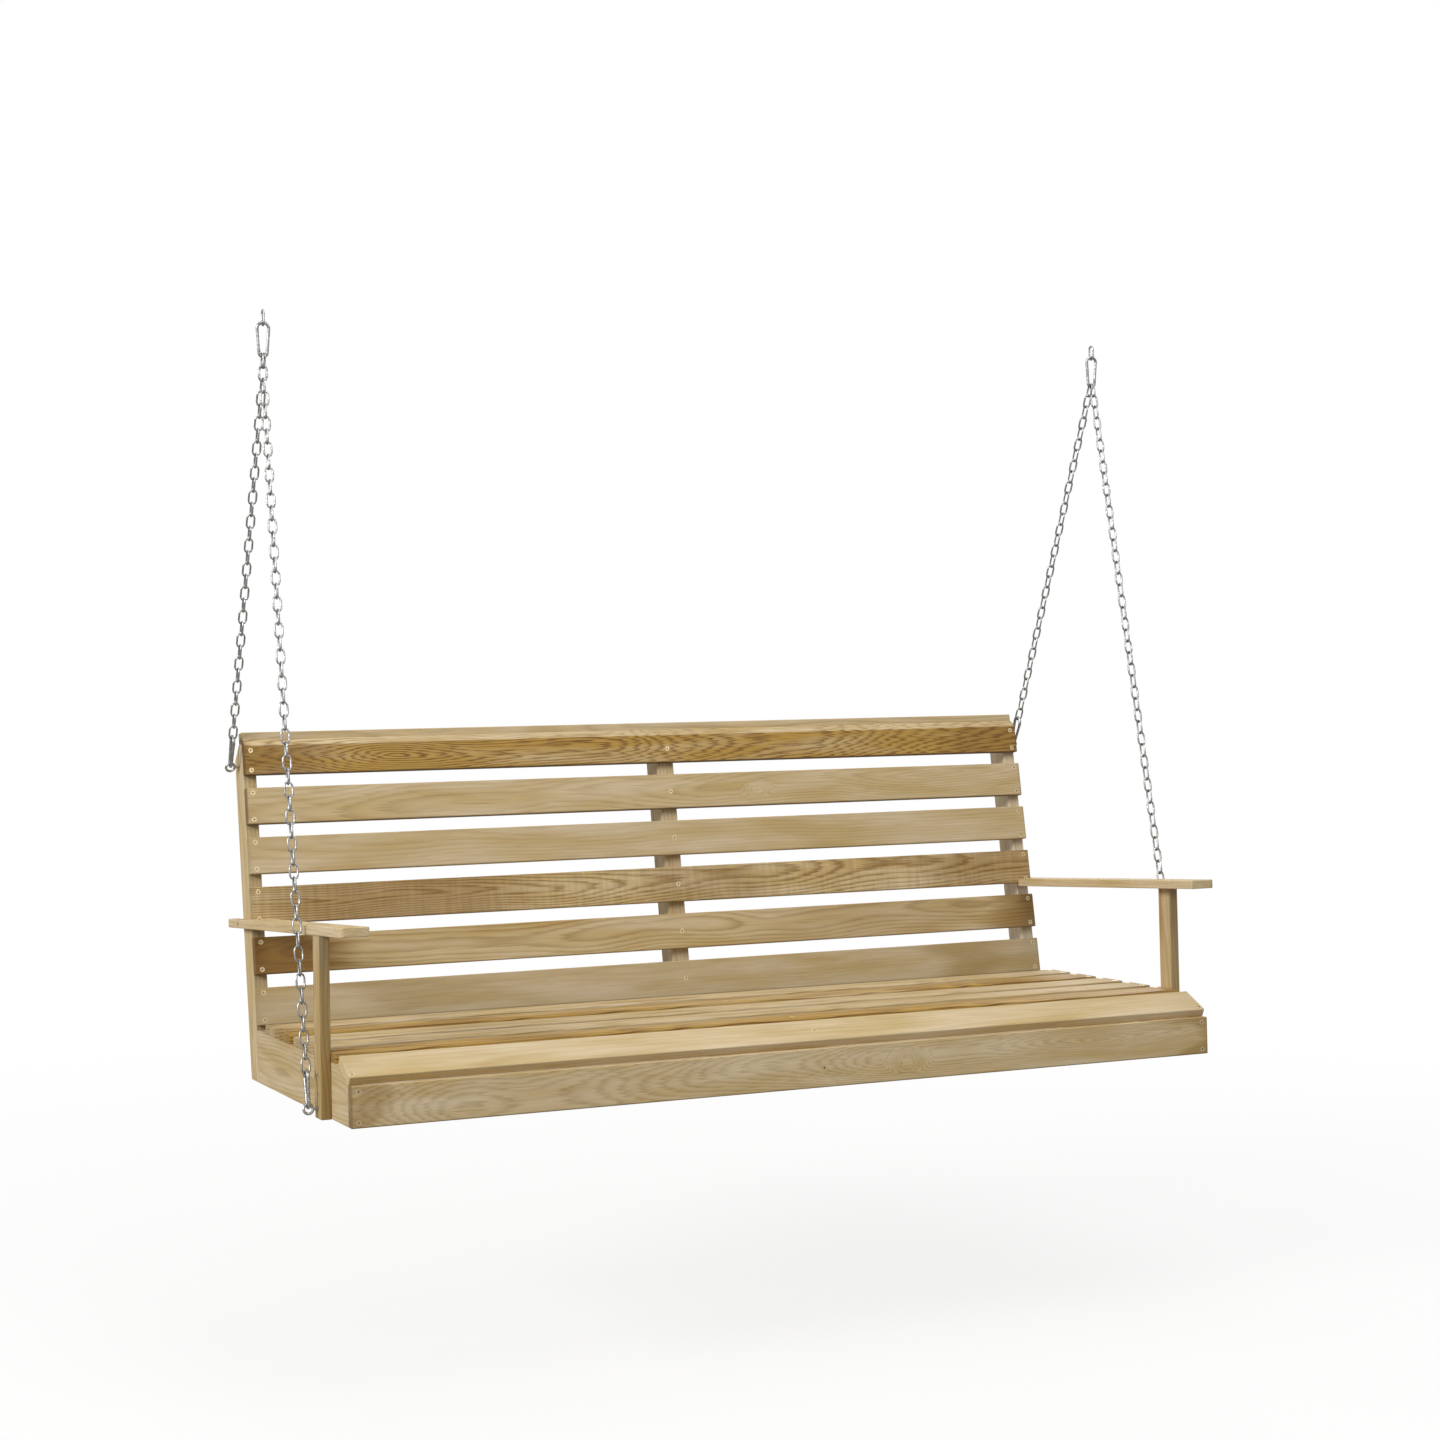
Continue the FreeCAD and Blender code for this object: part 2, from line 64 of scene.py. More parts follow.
# %% [markdown]
# ## Helpers for every finish
# Colours are picked on a screen, where they are sRGB, but shaders add up light in linear numbers, so one function
# converts them. A second one adds a node, gives it its settings and fills its sockets, either with a value or with
# a link from another node. Sockets are found by name, or by identifier where one node has several of the same name.
# A third starts an empty material. Nodes could be placed by hand in the editor, but a script can repeat them.

# %% Helpers for materials
def linear(hex_colour):
    """Linear red, green, blue and alpha of an sRGB hex colour."""
    channels = [int(hex_colour[place:place + 2], 16) / 255 for place in (1, 3, 5)]
    return [c / 12.92 if c <= 0.04045 else ((c + 0.055) / 1.055) ** 2.4 for c in channels] + [1.0]


def add_node(tree, kind, inputs=None, **settings):
    """A new node in a tree, with its settings, and with each input set to a value or linked to a socket."""
    node = tree.nodes.new("ShaderNode" + kind)
    for name, value in settings.items():
        setattr(node, name, value)
    for name, value in (inputs or {}).items():
        socket = next(s for s in node.inputs if name in (s.identifier, s.name))
        if isinstance(value, bpy.types.NodeSocket):
            tree.links.new(value, socket)
        else:
            socket.default_value = value
    return node


def new_material(name):
    """An empty material, and the function that adds nodes to it."""
    material = bpy.data.materials.new(name)
    material.use_nodes = True
    material.node_tree.nodes.clear()
    return material, partial(add_node, material.node_tree)


print("linear mid grey:", round(linear("#808080")[0], 3))

# %% [markdown]
# ## Which way a board runs
# Grain follows a board's length, so each pattern needs the board's own axes. They could be typed in for every board,
# but they can also be measured: a board's largest flat area is its broad face, the next largest one square to it is
# its edge, and the two together give the length. Opposite faces count as one direction.

# %% Measure the boards
NEARLY_SQUARE = 0.05  # two directions are square to each other when their dot product is below this


def board_axes(name):
    """Matrix whose columns point along a board, across it and through it."""
    areas = {}
    for face in nodes[name].data.polygons:
        sign = 1 if max(face.normal, key=abs) > 0 else -1
        key = tuple(round(sign * v, 2) for v in face.normal)
        areas[key] = areas.get(key, 0) + face.area
    ranked = [Vector(key).normalized() for key in sorted(areas, key=areas.get, reverse=True)]
    broad = ranked[0]
    edge = next(v for v in ranked if abs(v.dot(broad)) < NEARLY_SQUARE)
    along = edge.cross(broad).normalized()
    if max(along, key=abs) < 0:
        along.negate()
    across = broad.cross(along)
    return Matrix((along, across, broad)).transposed()


def board_reach(name, axes):
    """Middle of a board, and half its length, width and thickness."""
    corners = [axes.transposed() @ vertex.co for vertex in nodes[name].data.vertices]
    low = Vector([min(c[i] for c in corners) for i in range(3)])
    high = Vector([max(c[i] for c in corners) for i in range(3)])
    return axes @ ((low + high) / 2), (high - low) / 2


for name in ("seat_slat_1", "back_slat_1", "left_upright", "left_armrest"):
    axes = board_axes(name)
    centre, half = board_reach(name, axes)
    print(name, "runs along", [round(v, 2) for v in axes.col[0]], "half size in mm", [round(v / MM, 1) for v in half])

# %% [markdown]
# ## Where a point sat in the tree
# Grain is never straight. It drifts slowly from side to side, its edges feather along the fibres, and it parts round
# each knot. One way is to bend the picture of the rings afterwards. Here the place is moved before the rings are looked
# up, as the tree did it, so everything that is drawn from that place bends together.

# %% Drifting grain
DRIFT = (3, 5, 5)  # features per metre: the grain drifts over a third of a metre along and a fifth across
FEATHER = 2.5  # how far the fibres move a ring, in mm
KNOT_STRETCH = (2, 1, 100)  # a knot's swirl is twice as long as it is wide, and runs right through the board
KNOT_REACH = 6  # the swirl ends this many radii from the knot
KNOT_PUSH = 5  # and moves the grain by this many radii at its middle


def streaks(node, where, scale, seed, detail=3):
    """Noise drawn out along a board; scale is features per metre along, across and through it."""
    drawn_out = node("Mapping", {"Vector": where, "Scale": scale}).outputs[0]
    return node("TexNoise", {"Vector": drawn_out, "W": seed, "Scale": 1, "Detail": detail},
                noise_dimensions="4D").outputs


def part_round_knot(node, board, grain, knot):
    """Grain pushed aside by a knot, given as its place along the board, its offset and its radius in mm."""
    place, offset, radius = (value * MM for value in knot)
    knot_at = node("Mapping", {"Vector": board, "Location": (place, offset, 0), "Scale": KNOT_STRETCH},
                   vector_type="TEXTURE").outputs[0]
    away = node("VectorMath", {"Vector": knot_at}, operation="LENGTH").outputs["Value"]
    bulge = node("MapRange", {"Value": away, "From Max": KNOT_REACH * radius, "To Min": KNOT_PUSH * radius,
                              "To Max": 0}, interpolation_type="SMOOTHERSTEP").outputs[0]
    return node("VectorMath", {"Vector": bulge, "Vector_001": (0, 0, 1), "Vector_002": grain},
                operation="MULTIPLY_ADD").outputs[0]


def drifting_grain(node, board, fibre, seed, wander, feather, knots):
    """A point's place in the tree: drifted by wander in mm, feathered by the fibres, moved aside by knots."""
    drift = streaks(node, board, DRIFT, seed, detail=1)["Color"]
    grain = node("VectorMath", {"Vector": drift, "Vector_001": (0, wander * MM, wander * MM), "Vector_002": board},
                 operation="MULTIPLY_ADD").outputs[0]
    grain = node("VectorMath", {"Vector": fibre, "Vector_001": (0, 0, feather * MM), "Vector_002": grain},
                 operation="MULTIPLY_ADD").outputs[0]
    for knot in knots:
        grain = part_round_knot(node, board, grain, knot)
    return grain


print("the grain drifts once in", round(1 / (DRIFT[0] * MM)), "mm, and fibres feather a ring over", FEATHER, "mm")

# %% [markdown]
# ## Growth rings
# Pine has pale, wide early wood that darkens slowly to a thin brown line of late wood each year, and then starts again
# almost at once, which is the shape of a saw wave. The rings are tubes round the middle of the tree. A board is a flat
# cut near those tubes, so the tubes are drawn in the solid and the cut makes the arches, called cathedrals, by itself.
# A painted flat pattern would not join up round the edges and on the end grain, and this one does.

# %% Rings
WAVE_RADIANS = 20  # a ring wave of scale 1 counts 20 radians in each unit of length
DARKENS_FROM, DARKENS_TO = 0.35, 0.85  # shares of a year between which early wood turns to late wood
ENDS_FROM, ENDS_TO = 0.8, 1.0  # shares of a year between which the late wood ends


def late_wood(node, grain, seed, ring, pith, lean):
    """Share of late wood for rings of a width in mm round a pith, leaning against the board by degrees."""
    pith_at = node("Mapping", {"Vector": grain, "Location": (0, pith[0] * MM, pith[1] * MM),
                               "Rotation": (0, math.radians(lean[0]), math.radians(lean[1]))}).outputs[0]
    year = node("TexWave", {"Vector": pith_at, "Scale": 2 * math.pi / (WAVE_RADIANS * ring * MM), "Phase Offset": seed},
                wave_type="RINGS", rings_direction="X", wave_profile="SAW").outputs["Fac"]
    darkening = node("MapRange", {"Value": year, "From Min": DARKENS_FROM, "From Max": DARKENS_TO},
                     interpolation_type="SMOOTHSTEP").outputs[0]
    ending = node("MapRange", {"Value": year, "From Min": ENDS_FROM, "From Max": ENDS_TO, "To Min": 1,
                               "To Max": 0}).outputs[0]
    return node("Math", {"Value": darkening, "Value_001": ending}, operation="MULTIPLY").outputs[0]


print("rings of 4 mm need a wave scale of", round(2 * math.pi / (WAVE_RADIANS * 4 * MM)))

# %% [markdown]
# ## What the saw and the treatment left, with painted shade and sheen
# Sawn ends drink more of the treatment and turn brown, and so do whole stretches of some boards. The lower edge is
# darkened partly by that brown and partly by painted shade, as the eased edge faces down. Lighter and darker bars
# across some boards are painted sheen and shade, as light catches the planed fibres. All of them could be drawn in an
# image, but they are simple functions of the place on the board: a distance from its rim, a distance along it, and a
# noise drawn out across it.

# %% Rims, stretches and painted sheen
RIM_START, RIM_FULL = 3, 0.5  # mm from the edge where the brown, and painted shade on the lower edge, start and are full
STRETCH_CORE = 0.3  # share of a brown stretch that is brown all through
SHEEN_BARS = (110, 12, 12)  # features per metre: bars of painted sheen and shade, about 9 mm wide and 80 mm long
NOISE_LOW, NOISE_HIGH = 0.35, 0.65  # nearly all of a noise lies between these


def strongest(node, shares):
    """The largest of several shares at each point."""
    most = shares[0]
    for share in shares[1:]:
        most = node("Math", {"Value": share, "Value_001": most}, operation="MAXIMUM").outputs[0]
    return most


def rim_brown_and_painted_shade(node, place_on, half, strength):
    """Darkening of a board's last millimetres: brown on both sawn ends, brown and painted shade on the lower edge."""
    from_middle = node("Math", {"Value": place_on["X"]}, operation="ABSOLUTE").outputs[0]
    return strongest(node, [
        node("MapRange", {"Value": distance, "From Min": reach - RIM_START * MM, "From Max": reach - RIM_FULL * MM,
                          "To Max": strength}).outputs[0]
        for distance, reach in ((from_middle, half.x), (place_on["Y"], half.y))])


def brown_stretch(node, along, place, reach, depth):
    """Share of brown in a stretch round a place, fading over its half length in mm to either side."""
    away = node("Math", {"Value": along, "Value_001": place * MM}, operation="SUBTRACT").outputs[0]
    away = node("Math", {"Value": away}, operation="ABSOLUTE").outputs[0]
    return node("MapRange", {"Value": away, "From Min": STRETCH_CORE * reach * MM, "From Max": reach * MM,
                             "To Min": depth, "To Max": 0}, interpolation_type="SMOOTHSTEP").outputs[0]


def painted_sheen_bars(node, board, seed, shade, strength):
    """Lightness with painted sheen and shade: uneven lighter and darker bars across the board's length."""
    bars = streaks(node, board, SHEEN_BARS, seed, detail=2)["Fac"]
    sheen_and_shade = node("MapRange", {"Value": bars, "From Min": NOISE_LOW, "From Max": NOISE_HIGH, "To Min": 1 - strength,
                             "To Max": 1 + strength}).outputs[0]
    return node("Math", {"Value": shade, "Value_001": sheen_and_shade}, operation="MULTIPLY").outputs[0]


# The bars printed here are painted sheen and shade.
print("planer marks in mm:", round(1 / (SHEEN_BARS[0] * MM)), "wide and", round(1 / (SHEEN_BARS[1] * MM)), "long")

# %% [markdown]
# ## Colours of treated pine
# The boards are pine, steeped in copper salts that turn the yellow wood to an olive tan. One flat tan would look like
# paint, so the colour is put together from the inside out: pale and yellow sapwood, brown heartwood in long streaks
# that stop at the sapwood of the upper edge, and late wood over both.

# %% Sapwood and heartwood
PALE_SAP = linear("#CFBB98")
YELLOW_SAP = linear("#BFA571")
LATE_SAP = linear("#957845")
EARLY_HEART = linear("#B18C40")
LATE_HEART = linear("#765012")
HEART_FROM, HEART_TO = 0.68, 0.95  # noise where heartwood starts and is full on a board that has hardly any
RAGGED = 0.3  # metres by which the mottle moves the ends of a brown stretch


def below_sapwood(node, place_on, sap_edge):
    """Share of 1 below the sapwood of the upper edge, which starts sap_edge mm above the middle of the board."""
    return node("MapRange", {"Value": place_on["Y"], "From Min": -(sap_edge + FEATHER) * MM,
                             "From Max": -sap_edge * MM}).outputs[0]


def heartwood_share(node, mottle, below_sap, heart):
    """Share of brown heartwood, in long streaks below the sapwood."""
    brown = node("MapRange", {"Value": mottle, "From Min": HEART_FROM - heart / 2,
                              "From Max": HEART_TO - heart / 2}).outputs[0]
    return node("Math", {"Value": brown, "Value_001": below_sap}, operation="MULTIPLY").outputs[0]


def stain_share(node, place_on, mottle, below_sap, patches):
    """Share of brown in the stretches of a board, with ragged ends and below the sapwood."""
    ragged = node("Math", {"Value": mottle, "Value_001": RAGGED, "Value_002": place_on["X"]}, operation="MULTIPLY_ADD")
    along = node("Math", {"Value": ragged.outputs[0], "Value_001": RAGGED / 2}, operation="SUBTRACT").outputs[0]
    stain = strongest(node, [brown_stretch(node, along, *patch) for patch in patches])
    return node("Math", {"Value": stain, "Value_001": below_sap}, operation="MULTIPLY").outputs[0]


def wood_colour(node, tint, late, brown):
    """Colour of pine from its tint of sapwood, its late wood and its share of heartwood."""
    pale = node("MapRange", {"Value": tint, "From Min": NOISE_LOW, "From Max": NOISE_HIGH}).outputs[0]
    early = node("Mix", {"Factor_Float": pale, "A_Color": YELLOW_SAP, "B_Color": PALE_SAP}, data_type="RGBA").outputs[2]
    sap = node("Mix", {"Factor_Float": late, "A_Color": early, "B_Color": LATE_SAP}, data_type="RGBA").outputs[2]
    heartwood = node("Mix", {"Factor_Float": late, "A_Color": EARLY_HEART, "B_Color": LATE_HEART},
                     data_type="RGBA").outputs[2]
    return node("Mix", {"Factor_Float": brown, "A_Color": sap, "B_Color": heartwood}, data_type="RGBA").outputs[2]


print("sapwood from", [round(v, 2) for v in YELLOW_SAP[:3]], "to", [round(v, 2) for v in PALE_SAP[:3]])

# %% [markdown]
# ## Pressure-treated pine
# Planed pine is matt, a little glossier on the hard late wood, and its fibres catch the light. The material takes the
# place in the tree, asks it for rings and heartwood, and lays stain, rims of brown and painted shade, and bars of
# painted sheen and shade over them. Fibres are far finer than a pixel, so they are drawn about 2 mm wide.

# %% Pine
DEEP_STAIN = linear("#664006")
# The colour of darkened edges: brown on sawn ends, and brown with painted shade on the lower edge.
EDGE_BROWN_AND_SHADE = linear("#5E4420")
STAIN_DEPTH = 0.75  # how much of a brown stretch is the colour of the stain
FIBRE = (14, 430, 430)  # features per metre: fibres about 2 mm wide and 70 mm long
MOTTLE = (2.2, 28, 28)  # streaks of heartwood, about 450 mm by 36 mm
TINT = (5, 40, 40)  # streaks of pale and yellow sapwood, about 200 mm by 25 mm
FIBRE_DARK, FIBRE_PALE = 0.3, 0.7  # noise of the darkest and of the palest fibres
FIBRE_LIGHT = 0.09  # share by which fibres are lighter or darker than the wood
FIBRE_HEIGHT = 0.3  # mm that a fibre stands out
FIBRE_RELIEF = 0.3  # how much of that height shows after planing
EARLY_ROUGH, LATE_ROUGH = 0.75, 0.6  # roughness of soft early wood and of hard late wood


def pine(name, seed, ring=5, pith=(8, 34), lean=(0.8, 1.1), wander=35, lines=0.5, heart=0.1, edges=0.3, tone_and_painted_light=1.0,
         feather=FEATHER, sap_edge=40, painted_sheen=0.0, grey=0.0, patches=(), knots=()):
    """Planed pine: matt, with brown late-wood lines, patches of heartwood and fine feathered fibres.

    lines is how dark the late wood is, heart the share of brown heartwood, edges how dark the rims are (brown on the
    sawn ends, brown with painted shade on the lower edge), tone the lightness, which on two uprights is painted light,
    chatter the depth of bars of painted sheen and shade, and grey how much colour is taken out, which on two uprights
    is painted light and shade. ring, pith, wander, feather and sap_edge are in mm and lean is in degrees. patches are
    brown stretches as (place, half length, depth), and knots are (place, offset, radius), in mm.
    """
    material, node = new_material("pressure_treated_pine_" + name)
    axes = board_axes(name)
    centre, half = board_reach(name, axes)
    where = node("TexCoord").outputs["Object"]
    board = node("Mapping", {"Vector": where, "Location": centre, "Rotation": axes.to_euler()},
                 vector_type="TEXTURE").outputs[0]
    place_on = node("SeparateXYZ", {"Vector": board}).outputs
    fibre = streaks(node, board, FIBRE, seed)["Fac"]
    grain = drifting_grain(node, board, fibre, seed, wander, feather, knots)
    mottle = streaks(node, grain, MOTTLE, seed + 3)["Fac"]
    tint = streaks(node, grain, TINT, seed + 5, detail=4)["Fac"]

    # Pale streaks show their late wood half as clearly as yellow ones.
    late = late_wood(node, grain, seed, ring, (pith[0] - wander / 2, pith[1] - wander / 2), lean)
    clarity = node("MapRange", {"Value": tint, "From Min": NOISE_LOW, "From Max": NOISE_HIGH, "To Min": lines,
                                "To Max": lines / 2}).outputs[0]
    late = node("Math", {"Value": late, "Value_001": clarity}, operation="MULTIPLY").outputs[0]
    below_sap = below_sapwood(node, place_on, sap_edge)
    brown = heartwood_share(node, mottle, below_sap, heart)
    if patches:
        stain = stain_share(node, place_on, mottle, below_sap, patches)
        brown = strongest(node, [brown, stain])
    colour = wood_colour(node, tint, late, brown)
    if patches:
        stained = node("Math", {"Value": stain, "Value_001": STAIN_DEPTH}, operation="MULTIPLY").outputs[0]
        colour = node("Mix", {"Factor_Float": stained, "A_Color": colour, "B_Color": DEEP_STAIN},
                      data_type="RGBA").outputs[2]
    # Darkened edges: brown on the sawn ends, and brown with painted shade on the lower edge.
    rim = rim_brown_and_painted_shade(node, place_on, half, edges)
    colour = node("Mix", {"Factor_Float": rim, "A_Color": colour, "B_Color": EDGE_BROWN_AND_SHADE}, data_type="RGBA").outputs[2]

    # tone scales the lightness; on the two uprights it is painted light.
    shade = node("MapRange", {"Value": fibre, "From Min": FIBRE_DARK, "From Max": FIBRE_PALE,
                              "To Min": (1 - FIBRE_LIGHT) * tone_and_painted_light, "To Max": (1 + FIBRE_LIGHT) * tone_and_painted_light}).outputs[0]
    # Painted sheen and shade: lighter and darker bars across the board.
    if painted_sheen:
        shade = painted_sheen_bars(node, board, seed + 7, shade, painted_sheen)
    # grey takes colour out; on the two uprights it is painted light and shade.
    colour = node("HueSaturation", {"Saturation": 1 - grey, "Value": shade, "Color": colour}).outputs[0]
    shine = node("MapRange", {"Value": late, "To Min": EARLY_ROUGH, "To Max": LATE_ROUGH}).outputs[0]
    relief = node("Bump", {"Height": fibre, "Strength": FIBRE_RELIEF, "Distance": FIBRE_HEIGHT * MM}).outputs[0]
    surface = node("BsdfPrincipled", {"Base Color": colour, "Roughness": shine, "IOR": 1.5, "Normal": relief})
    node("OutputMaterial", {"Surface": surface.outputs[0]})
    return material


print("fibres in mm:", round(1 / (FIBRE[0] * MM)), "long and", round(1 / (FIBRE[1] * MM), 1), "wide")

# %% [markdown]
# ## Each board its own tree
# Boards from one pack never match: some are pale sapwood, some have brown heart at an end, some carry knots. A material
# written out for each would hide what they share, so every board gets the same pine with its own numbers. Boards that
# the list doesn't name differ by their seed alone.

# %% Dress the boards
PALE_SEAT_NOTES = dict(heart=0.15, lines=0.9)
BROWN_SEAT_NOTES = dict(heart=0.85, lines=1.4)
POST_NOTES = dict(heart=0.5, tone_and_painted_light=0.92)
ARMREST_NOTES = dict(heart=0.0, lines=0.4, edges=0.0)
# edges sets how dark the rims are: brown on sawn ends, and brown with painted shade on the lower edge.
BOARD_NOTES = {
    "back_slat_1": dict(heart=0.85, lines=1.6, edges=0.9, ring=3.5, pith=(4, 36), lean=(-5.0, 1.1), wander=50,
                        feather=9, sap_edge=17, patches=((-690, 120, 0.55), (690, 140, 0.45))),
    "back_slat_2": dict(heart=0.05, lines=0.45, edges=0.8, ring=4.5, pith=(4, 34), lean=(2.5, 1.1), wander=50,
                        feather=7, tone_and_painted_light=0.97, knots=((190, 0, 3.5),)),
    "back_slat_3": dict(heart=0.0, lines=0.3, pith=(35, 40), wander=25, tone_and_painted_light=0.94),
    # back_slat_4 gets bars of painted sheen and shade.
    "back_slat_4": dict(heart=0.4, lines=1.3, painted_sheen=0.09, ring=4, pith=(10, 30), lean=(-2.0, 0.8), wander=40,
                        feather=5, patches=((-500, 300, 0.47), (60, 150, 0.27), (650, 190, 0.38))),
    "back_slat_5": dict(heart=0.15, lines=0.7, wander=45, feather=4, tone_and_painted_light=0.96,
                        patches=((-720, 170, 0.92), (715, 160, 0.62), (400, 280, 0.18))),
    "back_slat_6": dict(heart=0.0, lines=0.15, pith=(45, 50), wander=25, tone_and_painted_light=0.84, patches=((590, 110, 0.25),)),
    "top_rail": dict(tone_and_painted_light=0.93),
    # The two uprights are lighter and greyer: painted light on their front faces and painted shade on their sides.
    "right_upright": dict(heart=0.0, lines=0.3, tone_and_painted_light=1.42, grey=0.3),
    "centre_upright": dict(tone_and_painted_light=1.2, grey=0.12),
    "left_seat_rail": dict(tone_and_painted_light=0.93),
    "front_apron": dict(heart=0.0, lines=0.62, tone_and_painted_light=1.03, edges=0.7, ring=2.5, pith=(4, 34), lean=(3.5, 0.8),
                        wander=45, feather=5, patches=((730, 70, 0.4), (-730, 50, 0.3)), knots=((168, 0, 4.5),)),
    "front_edge_slat": dict(heart=0.05, lines=0.25, edges=0.0, pith=(35, 45), wander=25),
    "left_arm_post": POST_NOTES, "right_arm_post": POST_NOTES,
    "left_armrest": ARMREST_NOTES, "right_armrest": dict(ARMREST_NOTES, tone_and_painted_light=0.94),
    "seat_slat_1": BROWN_SEAT_NOTES, "seat_slat_2": PALE_SEAT_NOTES, "seat_slat_3": PALE_SEAT_NOTES,
    "seat_slat_4": BROWN_SEAT_NOTES, "seat_slat_5": PALE_SEAT_NOTES,
}
boards = [name for name, obj in nodes.items() if obj.data.materials[0].name == "pine"]
for seed, name in enumerate(sorted(boards)):
    nodes[name].data.materials[0] = pine(name, seed, **BOARD_NOTES.get(name, {}))
print("boards dressed:", len(boards))

# %% [markdown]
# ## Zinc on steel
# Hooks, eyes and chain are steel wire with a zinc coat, which is pale grey and a little clouded. The screws have the
# yellow kind of zinc. Both are metals, so the base colour is the colour of their reflections. A screw's recess and the
# corners between links get painted shade: an ambient occlusion node finds them by feeling for nearby surfaces, and the
# colour is darkened there.

# %% Metal finishes
PAINTED_SHADE_NOOK = 1.5  # width in mm of the recesses and corners that get painted shade
DULLER = 0.15  # how much rougher zinc is where it is dark


def zinc(name, pale, dark, cloud, roughness):
    """Zinc coat: metallic, clouded in patches of the given width in mm, duller where it is dark."""
    material, node = new_material(name)
    where = node("TexCoord").outputs["Object"]
    clouds = node("TexNoise", {"Vector": where, "Scale": 1 / (cloud * MM), "Detail": 3}).outputs["Fac"]
    share = node("MapRange", {"Value": clouds, "From Min": NOISE_LOW, "From Max": NOISE_HIGH}).outputs[0]
    colour = node("Mix", {"Factor_Float": share, "A_Color": linear(dark), "B_Color": linear(pale)},
                  data_type="RGBA").outputs[2]
    # Painted shade: the colour is darkened in recesses and corners that the ambient occlusion node finds.
    colour = node("AmbientOcclusion", {"Color": colour, "Distance": PAINTED_SHADE_NOOK * MM}).outputs["Color"]
    shine = node("MapRange", {"Value": share, "To Min": roughness + DULLER, "To Max": roughness}).outputs[0]
    surface = node("BsdfPrincipled", {"Base Color": colour, "Roughness": shine, "Metallic": 1.0})
    node("OutputMaterial", {"Surface": surface.outputs[0]})
    return material


galvanised = zinc("galvanised_steel_wire", "#CBCBC9", "#8F8F8D", cloud=4, roughness=0.33)
yellow_zinc = zinc("yellow_zinc_screws", "#F4E3BE", "#DAC08A", cloud=3, roughness=0.35)
for name, obj in nodes.items():
    if name not in boards:
        obj.data.materials[0] = yellow_zinc if name.endswith("_screws") else galvanised
print("metal nodes:", len(nodes) - len(boards))

# %% [markdown]
# ## Chain links
# A link is a wire ring with two straight sides. A curve with a round bevel would give it, but a spin shows how it is
# bent: a small circle is pushed up one side, spun half round at the top, pushed down the other side and spun back to
# its start. There are 172 links, so a link has only a few dozen faces, and smooth shading rounds it.

# %% Bend one link
WIRE_RADIUS = 1.6 * MM
LINK_INNER_LENGTH = 20.75 * MM
LINK_INNER_WIDTH = 8.8 * MM
WIRE_SIDES = 6
BEND_STEPS = 4
SEAM = 0.05 * MM  # corners nearer than this are the seam where the wire closes
bend_radius = LINK_INNER_WIDTH / 2 + WIRE_RADIUS
straight = LINK_INNER_LENGTH - LINK_INNER_WIDTH


def bend_link():
    """One link round the origin, upright, with its flat side to the front."""
    link = bmesh.new()
    start = bmesh.ops.create_circle(link, segments=WIRE_SIDES, radius=WIRE_RADIUS,
                                    matrix=Matrix.Translation((bend_radius, 0, -straight / 2)))
    loop = list({edge for vert in start["verts"] for edge in vert.link_edges})
    for end in (1, -1):
        run = bmesh.ops.extrude_edge_only(link, edges=loop)["geom"]
        verts = [part for part in run if isinstance(part, bmesh.types.BMVert)]
        bmesh.ops.translate(link, verts=verts, vec=(0, 0, end * straight))
        edges = [part for part in run if isinstance(part, bmesh.types.BMEdge)]
        bend = bmesh.ops.spin(link, geom=verts + edges, cent=(0, 0, end * straight / 2), axis=(0, -1, 0),
                              angle=math.pi, steps=BEND_STEPS, use_merge=False, use_duplicate=False)
        loop = [part for part in bend["geom_last"] if isinstance(part, bmesh.types.BMEdge)]
    bmesh.ops.remove_doubles(link, verts=link.verts, dist=SEAM)
    bmesh.ops.recalc_face_normals(link, faces=link.faces)
    return link


link = bend_link()
print("faces in a link:", len(link.faces), "open edges:", sum(edge.is_boundary for edge in link.edges))

# %% [markdown]
# ## Where the links hang
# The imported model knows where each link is: a chain there is one mesh with a loose island for every link. Walking from
# corner to corner along the edges finds an island, and the middle of its box is the middle of the link. Typing the
# places in would work until the next change of length, so they are measured.

# %% Find the links
SAME_CORNER = 0.001 * MM  # corners of loose triangles that are nearer than this are one


def link_middles(name):
    """Middles of a chain's links, from the top down."""
    model = bmesh.new()
    model.from_mesh(nodes[name].data)
    bmesh.ops.remove_doubles(model, verts=model.verts, dist=SAME_CORNER)
    waiting = set(model.verts)
    middles = []
    while waiting:
        island = [waiting.pop()]
        for vert in island:
            fresh = {edge.other_vert(vert) for edge in vert.link_edges} & waiting
            waiting -= fresh
            island.extend(fresh)
        low = Vector([min(vert.co[i] for vert in island) for i in range(3)])
        high = Vector([max(vert.co[i] for vert in island) for i in range(3)])
        middles.append((low + high) / 2)
    model.free()
    return sorted(middles, key=lambda middle: -middle.z)


chains = {f"{side}_{kind}": link_middles(f"{side}_{kind}")
          for side in ("left", "right") for kind in ("front_chain", "rear_chain")}
for name, middles in chains.items():
    print(name, "links:", len(middles), "pitch in mm:", round((middles[1] - middles[0]).length / MM, 2))

# %% [markdown]
# ## String the chains
# Every link is turned a quarter against the one before it. The chains are taut, so all links of one point the same way,
# from the upper hook to the lower one. The first link faces sideways, because the bow of the upper hook passes through
# it from side to side. Linked copies would be lighter in the file, but a piece has to be one mesh that can be exported.

